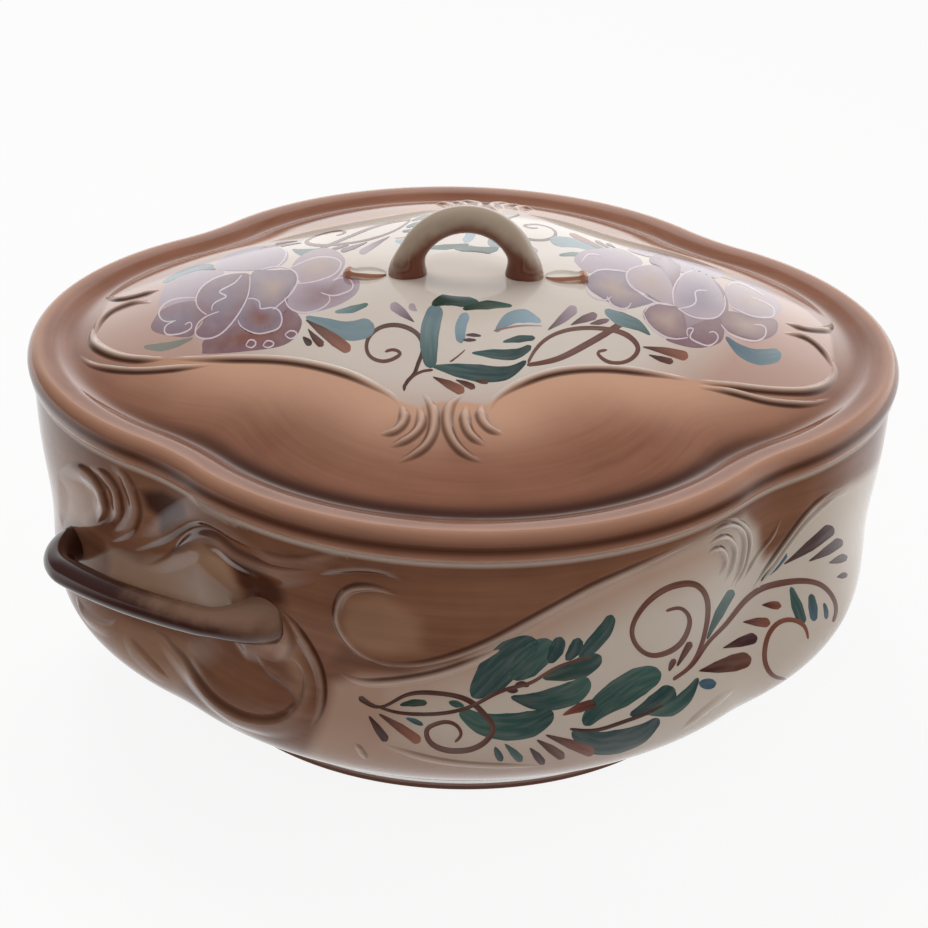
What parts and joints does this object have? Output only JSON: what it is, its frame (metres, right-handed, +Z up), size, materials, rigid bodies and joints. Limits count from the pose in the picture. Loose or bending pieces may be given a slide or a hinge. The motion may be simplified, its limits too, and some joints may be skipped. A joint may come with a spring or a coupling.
{
  "type": "lidded serving pot",
  "caption": "Four-lobed glazed ceramic serving pot on a round foot ring, with bar handles at its waists and a lift-off domed lid that carries a loop.",
  "frame": {"origin": "centre of the foot ring's underside, on the surface that the pot stands on", "axes": "+Z up, X through the two side handles, lobes on the diagonals, the lid's loop along (1, -1)"},
  "size_m": [0.2994, 0.2718, 0.1701],
  "materials": {
    "pot_glaze": "brown and cream glaze with painted ornament",
    "lid_glaze": "brown and cream glaze with painted ornament",
    "handle_glaze": "brown glaze",
    "loop_glaze": "tan glaze over brown edges"
  },
  "bodies": {
    "pot": {"pot_body": "pot_glaze", "side_handle_left": "handle_glaze", "side_handle_right": "handle_glaze"},
    "lid": {"lid_shell": "lid_glaze", "lid_loop": "loop_glaze", "lid_leaf_left": "loop_glaze", "lid_leaf_right": "loop_glaze"}
  },
  "joints": [
    {"name": "lid_lift", "type": "slide", "parent": "pot", "child": "lid", "axis": [0, 0, 1], "range_m": [0, 0.15]}
  ]
}
